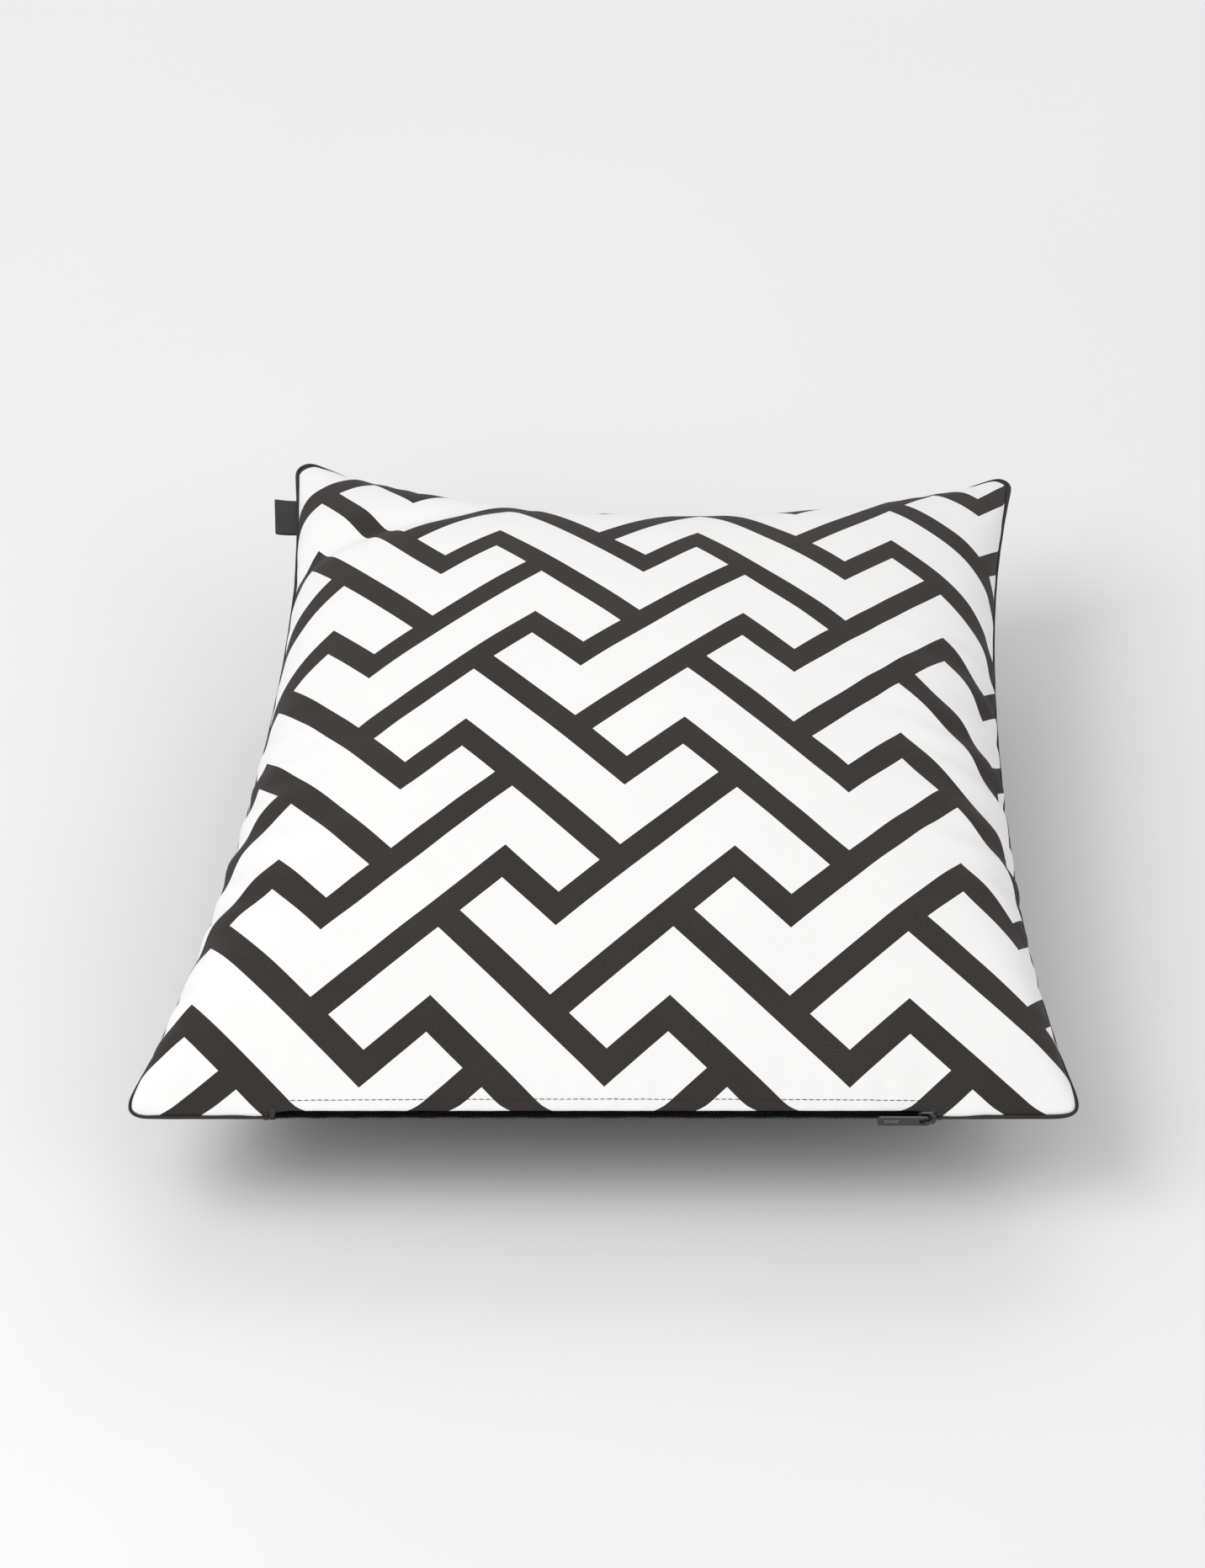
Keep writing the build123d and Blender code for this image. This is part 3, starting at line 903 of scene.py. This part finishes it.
for face in label_shape.faces:
    for loop in face.loops:
        s, t = loop.vert.co.x + 0.5, loop.vert.co.y + 0.5
        loop[label_uv].uv = (s * length / panel_width, t * label_height / panel_height)
for vert in label_shape.verts:
    s = 2 * vert.co.x  # -1 at one end of the ribbon, 0 at its fold, 1 at the other end
    t = vert.co.y * label_height
    far = (1 - abs(s)) * (label_reach + tail) - tail
    gap = 0.0006 * math.copysign(min(1.0, abs(s) * 8) ** 0.5, s) if s else 0.0
    lean = 0.0016 * max(far / label_reach, 0) ** 2 + 0.0006 * math.sin(t * 180) * max(far / label_reach, 0)
    vert.co = p + out * far + lift * (gap + lean) + along * t
label = thicken(finished("folded_label", label_shape, label_ribbon), ribbon, 1)
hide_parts("side_label", "side_label_tail")
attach(label, "cushion")
print("label at", [round(c, 3) for c in p], "reach", round(label_reach, 4))

# %% [markdown]
# ## The overlocked edge inside
# Inside, both turned-in edges are bound together by an overlock stitch, a thread that
# loops round the raw edge. A poly curve that zigzags round the allowance's end, with a
# round bevel, is enough for a thread nobody sees, and it is converted to a mesh so that
# it has real thickness.

# %% Bind the raw edges


def thread_mesh(name, points, radius, material, closed=False):
    """A thread along points, as a mesh."""
    curve = bpy.data.curves.new(name, "CURVE")
    curve.dimensions = "3D"
    curve.bevel_depth = radius
    curve.bevel_resolution = 1
    curve.use_fill_caps = not closed
    line = curve.splines.new("POLY")
    line.points.add(len(points) - 1)
    for point, here in zip(line.points, points):
        point.co = (*here, 1)
    line.use_cyclic_u = closed
    carrier = bpy.data.objects.new(name, curve)
    bpy.context.scene.collection.objects.link(carrier)
    graph = bpy.context.evaluated_depsgraph_get()
    made = bpy.data.meshes.new_from_object(carrier.evaluated_get(graph))
    bpy.data.objects.remove(carrier)
    made.materials.clear()
    made.materials.append(material)
    made.shade_smooth()
    thing = bpy.data.objects.new(name, made)
    bpy.context.scene.collection.objects.link(thing)
    return thing


start_column = round((0.5 + (zip_half + slot_ramp) / panel_width) * cells)
route = [(i, 0) for i in range(start_column, cells)]
route += [(cells, j) for j in range(cells)]
route += [(i, cells) for i in range(cells, 0, -1)]
route += [(0, j) for j in range(cells, 0, -1)]
route += [(i, 0) for i in range(0, cells - start_column + 1)]
points = []
for i, j in route:
    p, front, back, inside, up, down = seam_frame(i, j)
    tip = p + inside * (allowance + 0.0004)
    root = p + inside * (allowance - 0.0035)
    points += [tip, root + (up - down) * 0.0005, tip, root - (up - down) * 0.0005]
overlock = thread_mesh("overlock", points, 0.00018, black_thread)
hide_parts("seam_thread")
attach(overlock, "cushion")
print("overlock faces", len(overlock.data.polygons))

# %% [markdown]
# ## The inner cushion
# The cushion inside is a second, plain bag, a size smaller than the cover's seam
# allowances. It has the cover's own filled shape, drawn in from the edges and kept a few
# millimetres clear, so no simulation of its own is needed. Its filling is one soft lump.

# %% Make the inner case and its filling
case_inset = 0.013
case_round = 0.060  # over this distance from its edge the case reaches full thickness
case_cells = 60


def inner_point(side, s, t, inset, clear):
    """A point of an inner layer, from shares of its width and height."""
    x = (s - 0.5) * (panel_width - 2 * inset)
    y = inset + t * (panel_height - 2 * inset)
    top, low = on_cloth(0, x, y), on_cloth(1, x, y)
    middle, half = (top + low) / 2, (top - low) / 2
    edge = min(s, 1 - s, t, 1 - t) * (panel_height - 2 * inset)
    full = 1 - (1 - min(edge / case_round, 1.0)) ** 2
    room = max(half.length - clear, 0.0) / max(half.length, 1e-6)
    return middle + half * (1 if side == 0 else -1) * room * math.sqrt(full)


def inner_sheet(name, side, inset, clear, material, thickness):
    """One half of the inner case."""
    builder = bmesh.new()
    uv = builder.loops.layers.uv.new("panel")
    bmesh.ops.create_grid(builder, x_segments=case_cells, y_segments=case_cells, size=0.5)
    for face in builder.faces:
        for loop in face.loops:
            loop[uv].uv = (loop.vert.co.x + 0.5, loop.vert.co.y + 0.5)
    for vert in builder.verts:
        vert.co = inner_point(side, vert.co.x + 0.5, vert.co.y + 0.5, inset, clear)
    if side == 1:
        bmesh.ops.reverse_faces(builder, faces=builder.faces[:])
    thing = finished(name, builder, material)
    return thicken(thing, thickness) if thickness else thing


cover_clear = 0.0045
case_front = inner_sheet("case_front", 0, case_inset, cover_clear, insert_fabric, 0.0003)
case_back = inner_sheet("case_back", 1, case_inset, cover_clear, insert_fabric, 0.0003)
ring = [(i / case_cells, 0.0) for i in range(case_cells)]
ring += [(1.0, i / case_cells) for i in range(case_cells)]
ring += [(1 - i / case_cells, 1.0) for i in range(case_cells)]
ring += [(0.0, 1 - i / case_cells) for i in range(case_cells)]
ring_points = [inner_point(0, s, t, case_inset - 0.0006, 0.0) for s, t in ring]
case_thread = thread_mesh("case_seam", ring_points, 0.0003, white_thread, closed=True)

lump = bmesh.new()
for side in (0, 1):
    made = bmesh.ops.create_grid(lump, x_segments=case_cells, y_segments=case_cells, size=0.5)["verts"]
    for vert in made:
        s, t = vert.co.x + 0.5, vert.co.y + 0.5
        vert.co = inner_point(side, s, t, case_inset + 0.004, cover_clear + 0.0015)
    if side == 1:
        bmesh.ops.reverse_faces(lump, faces=list({f for v in made for f in v.link_faces}))
bmesh.ops.remove_doubles(lump, verts=[v for v in lump.verts if v.is_boundary], dist=1e-6)
filling = finished("filling", lump, fibre)
for thing, node, finish_slot in (
    (case_front, "insert_case_front", "insert_fabric"),
    (case_back, "insert_case_back", "insert_fabric"),
    (case_thread, "insert_seam_thread", "insert_thread"),
    (filling, "insert_filling", "fibre_fill"),
):
    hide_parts(node)
    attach(thing, "cushion")
print("inner cushion faces", len(case_front.data.polygons), len(filling.data.polygons))

# %% [markdown]
# ## What the frame keeps
# The slider, its pull and the zip's stops are rigid, and their frame shapes are right, so
# they stay and only get a finish.

for node, material in (
    ("zip_slider", enamel),
    ("zip_pull_tab", enamel),
    ("zip_top_stops", stop_plastic),
    ("zip_bottom_stop", stop_plastic),
):
    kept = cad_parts[node].data
    kept.materials.clear()
    kept.materials.append(material)

# %% [markdown]
# ## Floor, light and camera
# A white and black object needs care: the white must stay white without losing its folds.
# A large soft light comes from the upper left, a weaker one from the right, and a pale
# floor and sky fill the shadows. The Standard view shows colours as they are set.

# %% Set the stage
floor_material, tree, shader = new_material("pale_floor", 0.9)
place = tree.nodes.new("ShaderNodeTexCoord").outputs["Object"]
mottle = pattern(tree, "ShaderNodeTexNoise", place, Scale=3.0, Detail=2.0)
pale = blend_colours(tree, mottle.outputs["Fac"], (0.80, 0.80, 0.80), (0.84, 0.84, 0.84))
tree.links.new(pale, shader.inputs["Base Color"])
floor_shape = bmesh.new()
bmesh.ops.create_grid(floor_shape, x_segments=1, y_segments=1, size=12)
bmesh.ops.translate(floor_shape, verts=floor_shape.verts, vec=(0, 0, -0.0002))
floor = finished("floor", floor_shape, floor_material)

aim = Vector((0, 0, seam_z))
for name, spot, power, size in (
    ("key", (-1.3, -0.9, 2.0), 34, 1.6),
    ("fill", (1.7, -1.2, 1.3), 9, 1.8),
    ("rim", (0.4, 1.9, 1.7), 12, 1.6),
):
    lamp = bpy.data.lights.new(name, "AREA")
    lamp.energy, lamp.size = power, size
    light = bpy.data.objects.new(name, lamp)
    light.location = spot
    light.rotation_euler = (aim - Vector(spot)).to_track_quat("-Z", "Y").to_euler()
    bpy.context.scene.collection.objects.link(light)
sky = bpy.data.worlds.new("sky")
sky.use_nodes = True
sky.node_tree.nodes["Background"].inputs["Color"].default_value = (1, 1, 1, 1)
sky.node_tree.nodes["Background"].inputs["Strength"].default_value = 0.55
bpy.context.scene.world = sky
bpy.context.scene.view_settings.view_transform = "Standard"

camera_data = bpy.data.cameras.new("camera")
camera_data.sensor_fit = "HORIZONTAL"
camera_data.lens = 205
camera = bpy.data.objects.new("camera", camera_data)
elevation, distance = math.radians(41), 3.6
target = Vector((0.0, -0.01, 0.092))
camera.location = target + distance * Vector((0, -math.cos(elevation), math.sin(elevation)))
camera.rotation_euler = (target - camera.location).to_track_quat("-Z", "Y").to_euler()
bpy.context.scene.collection.objects.link(camera)
bpy.context.scene.camera = camera
print("camera", [round(c, 3) for c in camera.location])
